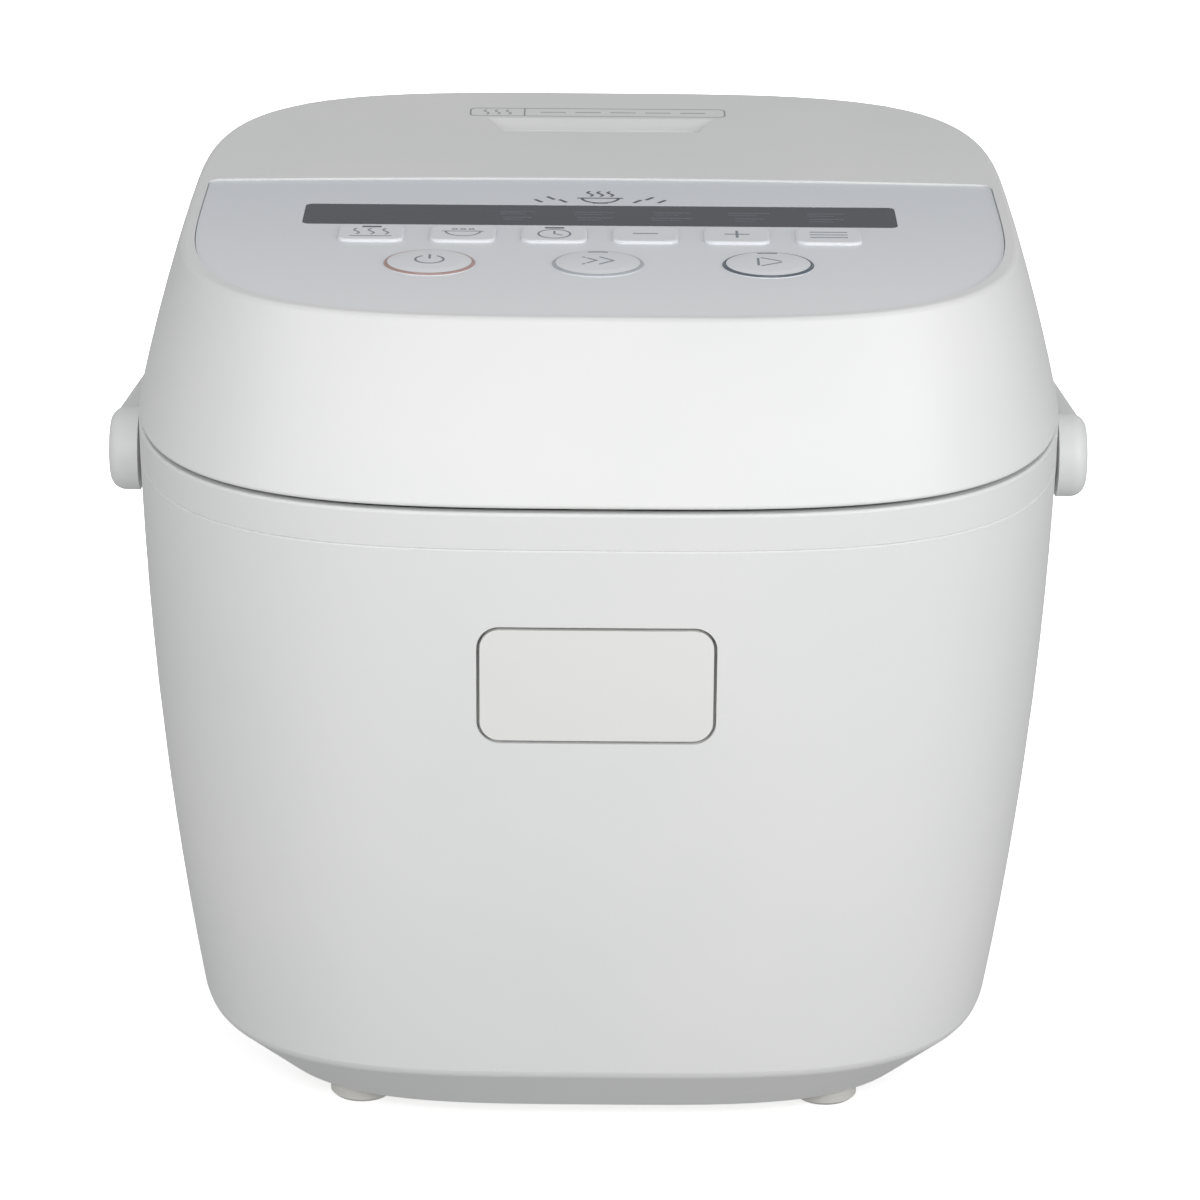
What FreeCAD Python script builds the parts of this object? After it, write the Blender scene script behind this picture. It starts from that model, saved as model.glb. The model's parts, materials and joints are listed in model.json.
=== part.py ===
# Electronic rice cooker with a hinged lid, a folding carry handle and a lid control panel.
# Units are millimetres. X is to the user's right, Y to the back, Z up; the floor is Z = 0.
import FreeCAD, Part
import math
import os
from FreeCAD import Vector

os.makedirs("parts", exist_ok=True)

# ---- driving dimensions -------------------------------------------------------------------
Y_SHIFT = -11.25         # moves the finished object so that its box is centred on Y = 0
WALL = 2.5
Z_FLOOR = 5.0            # underside of the base cover
Z_CREASE = 21.5          # lower edge of the outer shell
Z_SEAM = 183.0           # outer shell to upper frame
Z_SPLIT = 193.6          # top of the upper frame
LID_GAP = 1.2
Z_LID = Z_SPLIT + LID_GAP
Z_DECK = 189.5           # face the pot flange rests on
HALF_W = 134.0           # half width at the split
HALF_D = 150.0           # half depth at the split
CREASE_W = 117.9
CREASE_D = 136.3
TOP_W = 120.8            # lid top outline
TOP_FRONT = -126.8
TOP_REAR = 126.0
TOP_MID = -6.0
KINK_Y = 19.0            # the lid top changes slope here
KINK_Z = 244.4
FRONT_TILT = 0.9         # degrees, falling to the front
REAR_TILT = 1.4          # degrees, rising to the back
PANEL_DROP = 0.6
PANEL_T = 1.4
LID_ROOF = 5.0
HINGE_Y = 154.5
HINGE_Z = 199.5
HINGE_R = 5.0
PIN_R = 2.5
HUB_Y = -26.0
HUB_Z = 173.0
HUB_R = 12.25
HANDLE_FOLD = -8.5       # degrees below level at rest
HANDLE_IN = 165.6
HANDLE_OUT = 173.4
POT_R = 107.0
POT_WALL = 2.0
POT_FLANGE_R = 117.0
POT_BOTTOM = 54.0
CASE_R = 112.0
BTN_W = 64.0
BTN_Z0 = 127.4
BTN_Z1 = 160.0
BTN_R = 5.5
BTN_GAP = 0.9
LATCH_Y = -137.0
LATCH_Z = 168.0
INLET_Z = 60.0
FOOT_X = 67.5
FOOT_Y = 100.0
KEY_GAP = 0.15
BIG_KEYS = {"key_cancel": -48.0, "key_quick": -0.5, "key_start": 47.5}
BIG_KEY_Y = -72.0
BIG_KEY_R = 13.0
SMALL_KEYS = {
    "key_keep_warm": -65.8,
    "key_taste": -39.4,
    "key_timer": -13.1,
    "key_minus": 13.1,
    "key_plus": 39.4,
    "key_menu": 65.8,
}
SMALL_KEY_Y = -42.5
SMALL_KEY = (19.0, 16.0, 3.5)
WINDOW = (-86.3, 86.3, -31.0, -9.0)

X_AXIS = Vector(1, 0, 0)
Y_AXIS = Vector(0, 1, 0)
Z_AXIS = Vector(0, 0, 1)


# ---- helpers ------------------------------------------------------------------------------
def box(x0, x1, y0, y1, z0, z1):
    return Part.makeBox(x1 - x0, y1 - y0, z1 - z0, Vector(x0, y0, z0))


def cyl(r, x, y, z0, z1):
    return Part.makeCylinder(r, z1 - z0, Vector(x, y, z0), Z_AXIS)


def cyl_x(r, x0, x1, y, z):
    return Part.makeCylinder(r, x1 - x0, Vector(x0, y, z), X_AXIS)


def cyl_y(r, y0, y1, x, z):
    return Part.makeCylinder(r, y1 - y0, Vector(x, y0, z), Y_AXIS)


def ring(r0, r1, z0, z1, x=0.0, y=0.0):
    return cyl(r1, x, y, z0, z1).cut(cyl(r0, x, y, z0 - 1, z1 + 1))


def revolve(points, x=0.0, y=0.0):
    wire = Part.makePolygon([Vector(r, 0, z) for r, z in points + points[:1]])
    solid = Part.Face(wire).revolve(Vector(0, 0, 0), Z_AXIS, 360)
    solid.translate(Vector(x, y, 0))
    return solid


def rounded(x0, x1, y0, y1, z0, z1, r):
    body = box(x0, x1, y0, y1, z0, z1)
    upright = [e for e in body.Edges if abs(e.Vertexes[0].Z - e.Vertexes[1].Z) > 1e-6]
    return body.makeFillet(r, upright)


def rounded_y(x0, x1, z0, z1, y0, y1, r):
    body = rounded(x0, x1, -z1, -z0, y0, y1, r)
    body.rotate(Vector(0, 0, 0), X_AXIS, -90)
    return body


def prism_x(points, x0, x1):
    wire = Part.makePolygon([Vector(x0, y, z) for y, z in points + points[:1]])
    return Part.Face(wire).extrude(Vector(x1 - x0, 0, 0))


def fuse_all(shapes):
    result = shapes[0]
    if len(shapes) > 1:
        result = shapes[0].fuse(shapes[1:])
    return result.removeSplitter()


def outline(a, front, rear, n_front, n_rear, mid, z, inset=0.0):
    points = []
    count = 48
    for i in range(count):
        angle = 2 * math.pi * i / count
        c = math.cos(angle)
        s = math.sin(angle)
        b = rear - mid if s > 0 else mid - front
        n = n_rear if s > 0 else n_front
        r = (abs(c / (a - inset)) ** n + abs(s / (b - inset)) ** n) ** (-1.0 / n)
        points.append(Vector(r * c, mid + r * s, z))
    curve = Part.BSplineCurve()
    curve.interpolate(Points=points, PeriodicFlag=True)
    return Part.Wire(curve.toShape())


def body_section(z, inset=0.0):
    t = (194.2 - z) / (194.2 - Z_CREASE)
    w = 0.13 * t + 0.87 * t * t
    a = HALF_W + (CREASE_W - HALF_W) * w
    b = HALF_D + (CREASE_D - HALF_D) * w
    n = 3.4 + 0.35 * w
    return outline(a, -b, b, n, n, 0.0, z, inset)


def body_solid(z0, z1, inset=0.0):
    count = 7
    levels = [z0 + (z1 - z0) * i / (count - 1) for i in range(count)]
    return Part.makeLoft([body_section(z, inset) for z in levels], True, False)


def lid_section(z, inset=0.0):
    s = (z - Z_LID) / (243.0 - Z_LID)
    w = 0.82 * s + 0.18 * s * s
    a = HALF_W + (TOP_W - HALF_W) * w
    front = -HALF_D + (TOP_FRONT + HALF_D) * w
    rear = HALF_D + (TOP_REAR - HALF_D) * w
    return outline(a, front, rear, 3.4 + 0.16 * w, 3.4 + 0.35 * w, TOP_MID * w, z, inset)


def lid_solid(z0, z1, inset=0.0):
    count = 6
    levels = [z0 + (z1 - z0) * i / (count - 1) for i in range(count)]
    return Part.makeLoft([lid_section(z, inset) for z in levels], True, False)


def above_top(drop):
    front = KINK_Z - drop - (170 + KINK_Y) * math.tan(math.radians(FRONT_TILT))
    rear = KINK_Z - drop + (170 - KINK_Y) * math.tan(math.radians(REAR_TILT))
    profile = [(-170, front), (KINK_Y, KINK_Z - drop), (170, rear), (170, 280), (-170, 280)]
    return prism_x(profile, -160, 160)


def on_panel(shape):
    shape.translate(Vector(0, -KINK_Y, 0))
    shape.rotate(Vector(0, 0, 0), X_AXIS, FRONT_TILT)
    shape.translate(Vector(0, KINK_Y, KINK_Z))
    return shape


def on_rear_top(shape):
    shape.translate(Vector(0, -KINK_Y, 0))
    shape.rotate(Vector(0, 0, 0), X_AXIS, REAR_TILT)
    shape.translate(Vector(0, KINK_Y, KINK_Z))
    return shape


def coil(radius, wire_r, pitch, height, start, axis):
    path = Part.Wire(Part.makeHelix(pitch, height, radius).Edges)
    circle = Part.Circle(Vector(radius, 0, 0), Vector(0, 1, 0), wire_r)
    section = Part.Wire(circle.toShape())
    solid = path.makePipeShell([section], True, True)
    turn = FreeCAD.Rotation(Z_AXIS, axis)
    solid.Placement = FreeCAD.Placement(start, turn)
    return solid


def screw(x, y, head_z, shank_z, head_r=3.5, head_h=1.6, shank_r=1.6):
    up = 1 if shank_z > head_z else -1
    low, high = sorted([head_z, head_z + up * head_h])
    start, end = sorted([head_z + up * head_h, shank_z])
    head = cyl(head_r, x, y, low, high)
    drive = fuse_all([box(x - 1.8, x + 1.8, y - 0.4, y + 0.4, -1, 1),
                      box(x - 0.4, x + 0.4, y - 1.8, y + 1.8, -1, 1)])
    drive.translate(Vector(0, 0, head_z))
    return head.fuse(cyl(shank_r, x, y, start, end)).removeSplitter().cut(drive)


def save(name, shape):
    placed = shape.copy()
    placed.translate(Vector(0, Y_SHIFT, 0))
    placed.exportStep("parts/" + name + ".step")


# ---- outer shell: walls, soft crease and the turned-in lower edge --------------------------
def base_outline(z, inset):
    return outline(CREASE_W - inset, -(CREASE_D - inset), CREASE_D - inset, 3.7, 3.7, 0, z)


turned_in = Part.makeLoft([base_outline(Z_FLOOR, Z_CREASE - Z_FLOOR), body_section(Z_CREASE)], True, True)
shell_outer = body_solid(Z_CREASE, Z_SEAM).fuse(turned_in)
crease = [e for e in shell_outer.Edges
          if abs(e.BoundBox.ZMin - Z_CREASE) < 0.1 and e.BoundBox.ZMax < Z_CREASE + 0.1]
shell_outer = shell_outer.makeFillet(4.0, crease)
high_rim = [e for e in shell_outer.Edges
            if e.BoundBox.ZMin > Z_SEAM - 0.1 and e.Length > 300]
shell_outer = shell_outer.makeChamfer(0.35, high_rim)
low_hollow = Part.makeLoft([base_outline(Z_FLOOR - 1, Z_CREASE - Z_FLOOR + 4.0),
                            base_outline(Z_CREASE, 3.0)], True, True)
shell = shell_outer.cut(body_solid(Z_CREASE - 0.5, Z_SEAM + 1, WALL + 0.4)).cut(low_hollow)
pad = box(-21, 21, 140, 156, INLET_Z - 17, INLET_Z + 17).common(body_solid(30, 90, 0.5))
boss_spots = [(sx * 80.0, sy * 88.0) for sx in (-1, 1) for sy in (-1, 1)]
added = [pad]
for bx, by in boss_spots:
    x0, x1 = sorted([bx, math.copysign(118.0, bx)])
    added.append(box(x0, x1, by - 1.5, by + 1.5, 24.0, 44.0).common(body_solid(22, 60, 1.0)))
    added.append(cyl(4.5, bx, by, 22.0, 44.0))
removed = [cyl(1.65, bx, by, 21.0, 38.0) for bx, by in boss_spots]
removed.append(rounded_y(-BTN_W / 2 - BTN_GAP, BTN_W / 2 + BTN_GAP, BTN_Z0 - BTN_GAP,
                         BTN_Z1 + BTN_GAP, -160, -135, BTN_R + BTN_GAP))
for side in (-1, 1):
    x0, x1 = sorted([side * 120.0, side * 140.0])
    removed.append(cyl_x(5.2, x0, x1, HUB_Y, HUB_Z))
removed.append(rounded_y(-17.3, 17.3, INLET_Z - 14.1, INLET_Z + 14.1, 147.0, 160, 3.3))
removed.append(box(-14.05, 14.05, 130, 160, INLET_Z - 10.3, INLET_Z + 10.3))
save("outer_shell", shell.fuse(added).cut(removed))

# ---- base cover and feet ------------------------------------------------------------------
base = Part.Face(base_outline(Z_FLOOR, Z_CREASE - Z_FLOOR + 3.5)).extrude(Vector(0, 0, WALL))
foot_spots = [(sx * FOOT_X, sy * FOOT_Y) for sx in (-1, 1) for sy in (-1, 1)]
added = [cyl(8.0, fx, fy, Z_FLOOR + 1, 9.0) for fx, fy in foot_spots]
added += [cyl(4.5, bx, by, 6.0, 22.0) for bx, by in boss_spots]
for side in (-1, 1):
    x0, x1 = sorted([side * 50.0, side * 58.0])
    added.append(box(x0, x1, -112.5, -104.0, 6.0, 24.0))
    added.append(box(x0, x1, -123.5, -110.0, 16.0, 24.0))
    added.append(box(x0, x1, -123.5, -119.0, 23.0, 44.0))
removed = [cyl(3.6, fx, fy, 0, 10.0) for fx, fy in foot_spots]
removed += [cyl(1.75, bx, by, 11.0, 30.0) for bx, by in boss_spots]
removed += [cyl(3.8, bx, by, 0, 12.0) for bx, by in boss_spots]
removed += [box(x - 1.25, x + 1.25, -30, 30, 0, 10) for x in range(-54, 55, 9) if abs(x) > 20]
removed.append(box(-55.2, 55.2, -122.7, -120.9, 32.0, 60.0))
save("base_cover", base.fuse(added).cut(removed).removeSplitter())
save("base_screws", Part.makeCompound([screw(bx, by, 10.4, 36.0) for bx, by in boss_spots]))
feet = []
for fx, fy in foot_spots:
    feet.append(revolve([(0, 0), (8.2, 0), (9.25, 1.0), (9.25, Z_FLOOR), (3.5, Z_FLOOR),
                         (3.5, 9.0), (4.6, 9.0), (3.2, 12.0), (0, 12.0)], fx, fy))
save("feet", Part.makeCompound(feet))

# ---- upper frame with the pot deck, hinge lugs and latch slot -----------------------------
frame_outer = body_solid(Z_SEAM, Z_SPLIT)
top_edge = [e for e in frame_outer.Edges
            if e.BoundBox.ZMin > Z_SPLIT - 0.01 and e.Length > 300]
frame_outer = frame_outer.makeFillet(0.8, top_edge)
low_edge = [e for e in frame_outer.Edges
            if e.BoundBox.ZMax < Z_SEAM + 0.01 and e.Length > 300]
frame_outer = frame_outer.makeChamfer(0.35, low_edge)
frame = frame_outer.cut(body_solid(Z_DECK, Z_SPLIT + 1, 3.6))
frame = frame.cut(body_solid(Z_SEAM - 1, Z_DECK - 3.0, WALL))
frame = frame.cut(cyl(CASE_R - 1.0, 0, 0, 180, 200))
frame = frame.cut(box(-9.7, 9.7, -146.2, -131.0, 180, 192))
lug_profile = [(147.6, 183.4), (147.6, 193.0), (151.4, 193.0), (151.4, 199.5),
               (HINGE_Y + HINGE_R, 199.5), (HINGE_Y + HINGE_R, 192.5), (151.5, 183.4)]
for side in (-1, 1):
    x0, x1 = sorted([side * 44.0, side * 54.0])
    trim = box(x0 - 1, x1 + 1, HINGE_Y - 9, HINGE_Y - HINGE_R, 194.5, 210)
    lug = prism_x(lug_profile, x0, x1).fuse(cyl_x(HINGE_R, x0, x1, HINGE_Y, HINGE_Z)).cut(trim)
    frame = frame.fuse(lug).cut(cyl_x(PIN_R, x0 - 1, x1 + 1, HINGE_Y, HINGE_Z))
case_screw_spots = [(114.4 * math.cos(math.radians(a)), 114.4 * math.sin(math.radians(a)))
                    for a in (45, 135, 225, 315)]
for sx, sy in case_screw_spots:
    frame = frame.cut(cyl(1.3, sx, sy, 180, 188.6))
for x in (-22, 22):
    frame = frame.cut(cyl_y(1.3, 140, 152, x, 188.0))
save("upper_frame", frame.removeSplitter())

hinge_tube = cyl_x(5.9, -33.2, 33.2, HINGE_Y, HINGE_Z)
web_profile = [(150.05, 184.0), (150.05, 193.2), (151.6, 193.2), (151.6, 199.5),
               (HINGE_Y + 5.8, 199.5), (HINGE_Y + 5.8, 192.5), (152.5, 184.0)]
hinge_cover = hinge_tube.fuse(prism_x(web_profile, -33.2, 33.2))
hinge_cover = hinge_cover.cut(cyl_x(4.9, -34, 34, HINGE_Y, HINGE_Z))
for x in (-22, 22):
    hinge_cover = hinge_cover.cut(cyl_y(1.5, 149, 160, x, 188.0))
    hinge_cover = hinge_cover.cut(cyl_y(2.6, 152.4, 165, x, 188.0))
save("hinge_cover", hinge_cover.removeSplitter())
save("hinge_pin", cyl_x(PIN_R - 0.03, -65.5, 65.5, HINGE_Y, HINGE_Z)
     .fuse(cyl_x(3.8, 65.5, 67.0, HINGE_Y, HINGE_Z)).removeSplitter())
save("hinge_spring", coil(3.6, 0.55, 2.6, 39.0, Vector(-19.5, HINGE_Y, HINGE_Z), X_AXIS))
frame_screws = []
for x in (-22, 22):
    head = cyl_y(2.4, 152.4, 154.0, x, 188.0)
    frame_screws.append(head.fuse(cyl_y(1.3, 148.0, 152.4, x, 188.0)).removeSplitter())

# ---- pot, its metal case and the heater ---------------------------------------------------
r_in = POT_R - POT_WALL
corner = 30.0
pot_outer = Part.makeCylinder(POT_R, 191.1 - POT_BOTTOM, Vector(0, 0, POT_BOTTOM), Z_AXIS)
pot_outer = pot_outer.makeFillet(corner, [e for e in pot_outer.Edges
                                          if e.BoundBox.ZMax < POT_BOTTOM + 0.01 and e.Closed
                                          and e.Length > 100])
pot_outer = pot_outer.fuse(cyl(POT_FLANGE_R, 0, 0, Z_DECK, 191.1)).removeSplitter()
flange_edges = [e for e in pot_outer.Edges if e.Length > 2 * math.pi * (POT_FLANGE_R - 1)
                and e.Closed]
pot_outer = pot_outer.makeFillet(0.6, flange_edges)
pot_inner = Part.makeCylinder(r_in, 150, Vector(0, 0, POT_BOTTOM + 3.0), Z_AXIS)
pot_inner = pot_inner.makeFillet(corner - 2, [e for e in pot_inner.Edges
                                              if e.BoundBox.ZMax < POT_BOTTOM + 3.01 and e.Closed
                                              and e.Length > 100])
save("inner_pot", pot_outer.cut(pot_inner))

case = ring(CASE_R - 1.0, CASE_R, 30.0, 186.5).fuse(cyl(CASE_R, 0, 0, 30.0, 31.2))
case = case.fuse(ring(CASE_R - 1.0, POT_FLANGE_R + 1, 185.3, 186.5)).cut(cyl(22.0, 0, 0, 0, 60))
post_spots = [(86.0 * math.cos(math.radians(a)), 86.0 * math.sin(math.radians(a)))
              for a in (90, 210, 330)]
terminal_spots = [(70.0 * math.cos(math.radians(a)), 70.0 * math.sin(math.radians(a)))
                  for a in (262, 278)]
for px, py in post_spots:
    case = case.cut(cyl(2.1, px, py, 20, 40))
for px, py in terminal_spots:
    case = case.cut(cyl(5.0, px, py, 20, 40))
for sx, sy in case_screw_spots:
    case = case.cut(cyl(1.6, sx, sy, 180, 190))
save("inner_case", case.removeSplitter())
for sx, sy in case_screw_spots:
    frame_screws.append(cyl(2.4, sx, sy, 183.7, 185.3).fuse(cyl(1.3, sx, sy, 185.3, 188.5)))
save("frame_screws", Part.makeCompound(frame_screws))

element = Part.makeTorus(70.0, 4.0, Vector(0, 0, 41.0), Z_AXIS)
plate = cyl(96.0, 0, 0, 45.0, POT_BOTTOM).fuse(ring(62.0, 78.0, 39.0, 45.0))
plate = plate.cut(cyl(19.0, 0, 0, 30, 60)).cut(element)
for px, py in post_spots:
    plate = plate.cut(cyl(2.0, px, py, 40, 51))
save("heating_plate", plate.removeSplitter())
for px, py in terminal_spots:
    element = element.fuse(cyl(2.2, px, py, 21.0, 41.0))
save("heating_element", element.removeSplitter())
posts = [cyl(4.5, px, py, 31.2, 45.0).cut(cyl(2.1, px, py, 20, 50)) for px, py in post_spots]
save("plate_posts", Part.makeCompound(posts))
plate_screws = [screw(px, py, 28.0, 50.0, 4.2, 2.0, 2.0) for px, py in post_spots]
save("plate_screws", Part.makeCompound(plate_screws))

band = ring(CASE_R, CASE_R + 1.6, 140.0, 156.0)
band = band.fuse(box(-5, 5, CASE_R - 0.2, CASE_R + 7, 143.0, 153.0))
save("side_heater", band.cut(cyl(CASE_R, 0, 0, 130, 170)).removeSplitter())
fuse_body = cyl_x(2.4, 34.0, 48.0, 0, 27.2).fuse(cyl_x(0.6, 28.0, 54.0, 0, 27.2))
save("thermal_fuse", fuse_body.removeSplitter())
clip = box(38.0, 44.0, -6.0, 6.0, 23.8, 30.0).cut(cyl_x(2.4, 30, 50, 0, 27.2))
save("fuse_clip", clip)

bracket = ring(16.0, 26.0, 28.8, 30.0).fuse(ring(14.8, 16.0, 20.0, 30.0))
bracket = bracket.fuse(ring(4.3, 16.0, 20.0, 21.2))
save("sensor_bracket", bracket.removeSplitter())
sensor = cyl(14.0, 0, 0, 46.0, 53.7).fuse(cyl(4.0, 0, 0, 16.0, 47.0))
rim = [e for e in sensor.Edges if e.BoundBox.ZMin > 53.6 and e.Closed]
save("sensor_cap", sensor.removeSplitter().makeFillet(1.2, rim))
save("sensor_spring", coil(8.0, 0.8, 4.4, 22.0, Vector(0, 0, 22.3), Z_AXIS))

# ---- power electronics and the mains inlet ------------------------------------------------
save("power_board", box(-55, 55, -122.6, -121.0, 32.0, 112.0))
save("relay", box(-42, -22, -121.0, -111.5, 40.0, 56.0).cut(cyl(CASE_R + 0.5, 0, 0, 20, 120)))
transformer = box(14, 46, -121.0, -117.5, 62.0, 90.0).fuse(box(18, 42, -117.5, -114.0, 66.0, 86.0))
save("transformer", transformer.removeSplitter())

inlet = box(-14, 14, 125, 147, INLET_Z - 10.2, INLET_Z + 10.2)
inlet = inlet.fuse(rounded_y(-17, 17, INLET_Z - 13.8, INLET_Z + 13.8, 147, 149.2, 3.0))
mouth = rounded_y(-12.1, 12.1, INLET_Z - 8.3, INLET_Z + 8.3, 130.5, 152, 2.0)
inlet = inlet.cut(mouth)
pin_spots = [(-7.0, -1.5), (7.0, -1.5), (0.0, 2.5)]
pins = []
for px, pz in pin_spots:
    pin = box(px - 1.0, px + 1.0, 119.0, 142.0, INLET_Z + pz - 2.0, INLET_Z + pz + 2.0)
    inlet = inlet.cut(pin)
    pins.append(pin)
save("ac_inlet", inlet.removeSplitter())
save("inlet_pins", Part.makeCompound(pins))

# ---- open button and latch ----------------------------------------------------------------
skin = body_solid(115, 170)
hollow = body_solid(114, 171, 2.4)
prism = rounded_y(-BTN_W / 2, BTN_W / 2, BTN_Z0, BTN_Z1, -156, -141.5, BTN_R)
inside = rounded_y(-BTN_W / 2 + 2.2, BTN_W / 2 - 2.2, BTN_Z0 + 2.2, BTN_Z1 - 2.2, -160, -141, 3.3)
button = prism.common(skin)
flange = rounded_y(-BTN_W / 2 - 2.6, BTN_W / 2 + 2.6, BTN_Z0 - 2.6, BTN_Z1 + 2.6,
                   -143.8, -142.2, BTN_R + 2.6)
lever_notch = box(-13.0, 13.0, -146.5, -140.0, 155.0, 165.0)
button = button.fuse(flange).cut([inside.common(hollow), lever_notch])
button = button.fuse(box(-6, 6, -146.8, LATCH_Y - 4.3, 142.0, 149.0).common(body_solid(130, 160, 1.0)))
save("open_button", button.removeSplitter())
save("button_spring", coil(4.0, 0.5, 2.7, 15.0, Vector(0, -144.3, 135.4), Y_AXIS))

lever = box(-7, 7, LATCH_Y - 4.0, LATCH_Y + 0.5, 142.0, 199.6)
lever = lever.fuse(prism_x([(LATCH_Y, 196.4), (LATCH_Y + 4.3, 196.4), (LATCH_Y + 4.3, 197.6),
                            (LATCH_Y, 199.6)], -7, 7))
lever = lever.fuse(cyl_x(4.6, -9.3, 9.3, LATCH_Y, LATCH_Z))
lever = lever.cut(cyl_x(2.06, -12, 12, LATCH_Y, LATCH_Z))
save("latch_lever", lever.removeSplitter())
save("latch_pin", cyl_x(2.0, -12.5, 12.5, LATCH_Y, LATCH_Z))
holder = box(-11.6, 11.6, -128.4, -127.0, 129.0, 186.4)
for side in (-1, 1):
    x0, x1 = sorted([side * 10.0, side * 11.6])
    holder = holder.fuse(box(x0, x1, -142.0, -127.0, 160.0, 186.4))
    x0, x1 = sorted([side * 10.0, side * 20.0])
    holder = holder.fuse(box(x0, x1, -142.0, -127.0, 185.0, 186.4))
holder = holder.cut(cyl_x(2.0, -14, 14, LATCH_Y, LATCH_Z))
save("latch_bracket", holder.removeSplitter())

# ---- carry handle -------------------------------------------------------------------------
def handle_plan(a, b, z0, z1):
    wire = outline(a, -b, b, 6.0, 6.0, 0.0, z0)
    return Part.Face(wire).extrude(Vector(0, 0, z1 - z0))


strap = handle_plan(143.0, HANDLE_OUT, -11.0, 11.0).cut(handle_plan(135.4, HANDLE_IN, -12, 12))
strap = strap.common(box(-160, 160, HUB_Y, 200, -20, 20))
strap_rims = [e for e in strap.Edges if e.Length > 100]
strap = strap.makeFillet(2.4, strap_rims)
for side in (-1, 1):
    x0, x1 = sorted([side * 135.2, side * 143.9])
    hub = cyl_x(HUB_R, x0, x1, HUB_Y, 0)
    rim = [e for e in hub.Edges if e.Closed and abs(e.BoundBox.XMax - side * 143.9) < 0.01
           and e.BoundBox.XMax - e.BoundBox.XMin < 0.01]
    hub = hub.makeFillet(4.5, rim)
    strap = strap.fuse(hub)
for side in (-1, 1):
    x0, x1 = sorted([side * 130.0, side * 140.3])
    strap = strap.cut(cyl_x(5.06, x0, x1, HUB_Y, 0))
strap = strap.removeSplitter()
strap.translate(Vector(0, 0, HUB_Z))
strap.rotate(Vector(0, HUB_Y, HUB_Z), X_AXIS, HANDLE_FOLD)
save("handle", strap)
pivots = []
for side in (-1, 1):
    x0, x1 = sorted([side * 129.8, side * 140.0])
    h0, h1 = sorted([side * 127.6, side * 129.8])
    pivot = cyl_x(5.0, x0, x1, HUB_Y, HUB_Z).fuse(cyl_x(8.5, h0, h1, HUB_Y, HUB_Z))
    pivots.append(pivot.removeSplitter())
save("handle_pivots", Part.makeCompound(pivots))

# ---- lid shell ----------------------------------------------------------------------------
lid = lid_solid(Z_LID, 252.0).cut(above_top(0.0))
crown = [e for e in lid.Edges if e.BoundBox.ZMin > 240 and e.BoundBox.YMax - e.BoundBox.YMin > 50]
lid = lid.makeFillet(1.8, crown)
low = [e for e in lid.Edges if e.BoundBox.ZMax < Z_LID + 0.01 and e.Length > 300]
lid = lid.makeFillet(0.8, low)
cavity = lid_solid(Z_LID - 1, 252.0, WALL).cut(above_top(LID_ROOF))
lid = lid.cut(cavity)


def panel_shape(grow, w0, w1):
    edge = outline(TOP_W - 1.3, TOP_FRONT, TOP_REAR, 3.56, 3.75, TOP_MID, w0, 2.8 - grow)
    plan = Part.Face(edge).extrude(Vector(0, 0, w1 - w0))
    back = Part.Arc(Vector(-130, 14.6 + grow, w0), Vector(0, 20 + grow, w0),
                    Vector(130, 14.6 + grow, w0)).toShape()
    sides = [Part.makeLine(Vector(130, 14.6 + grow, w0), Vector(130, -160, w0)),
             Part.makeLine(Vector(130, -160, w0), Vector(-130, -160, w0)),
             Part.makeLine(Vector(-130, -160, w0), Vector(-130, 14.6 + grow, w0))]
    front = Part.Face(Part.Wire([back] + sides)).extrude(Vector(0, 0, w1 - w0))
    shape = plan.common(front)
    corners = [e for e in shape.Edges if abs(e.BoundBox.ZMax - e.BoundBox.ZMin - (w1 - w0)) < 0.01
               and abs(e.BoundBox.XMax) > 100 and e.BoundBox.XMax - e.BoundBox.XMin < 0.1
               and e.BoundBox.YMin > 5]
    if corners:
        shape = shape.makeFillet(4.0, corners)
    return shape


wx0, wx1, wy0, wy1 = WINDOW
sw, sd, sr = SMALL_KEY
removed = [panel_shape(0.25, -PANEL_DROP - PANEL_T, 8.0),
           box(wx0 + 4, wx1 - 4, wy0 + 1.7, wy1 - 1.7, -8, 4)]
removed += [cyl(BIG_KEY_R + KEY_GAP, x, BIG_KEY_Y, -8, 4) for x in BIG_KEYS.values()]
removed += [rounded(x - sw / 2 - KEY_GAP, x + sw / 2 + KEY_GAP, SMALL_KEY_Y - sd / 2 - KEY_GAP,
                    SMALL_KEY_Y + sd / 2 + KEY_GAP, -8, 4, sr + KEY_GAP) for x in SMALL_KEYS.values()]
lid = lid.cut([on_panel(shape) for shape in removed])
board_spots = [(sx * 88.0, y) for sx in (-1, 1) for y in (-82.0, -40.0)]
lid_boss_spots = [(sx * x, y) for sx in (-1, 1) for x, y in ((104.0, -88.0), (100.0, 80.0))]
added = [on_panel(cyl(3.5, x, y, -14.0, -4.5).cut(cyl(1.5, x, y, -15, -8.0)))
         for x, y in board_spots]
added += [cyl(4.2, x, y, 197.5, 239.0 if y < 0 else 241.5).cut(cyl(1.6, x, y, 190, 212.0))
          for x, y in lid_boss_spots]
pocket = []
for levels in (((29.0, 29.0, 81.0, -6.0), (29.8, 31.6, 84.6, -2.2)),
               ((29.8, 31.6, 84.6, -2.2), (30.5, 35.5, 91.0, 0.2))):
    wires = []
    for (near, far, y), w in [(level[:3], level[3]) for level in levels]:
        wires.append(Part.makePolygon([Vector(-near, 74.3, w), Vector(near, 74.3, w), Vector(far, y, w),
                                       Vector(-far, y, w), Vector(-near, 74.3, w)]))
    pocket.append(on_rear_top(Part.makeLoft(wires, True, True)))
lid = lid.cut(pocket)
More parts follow.
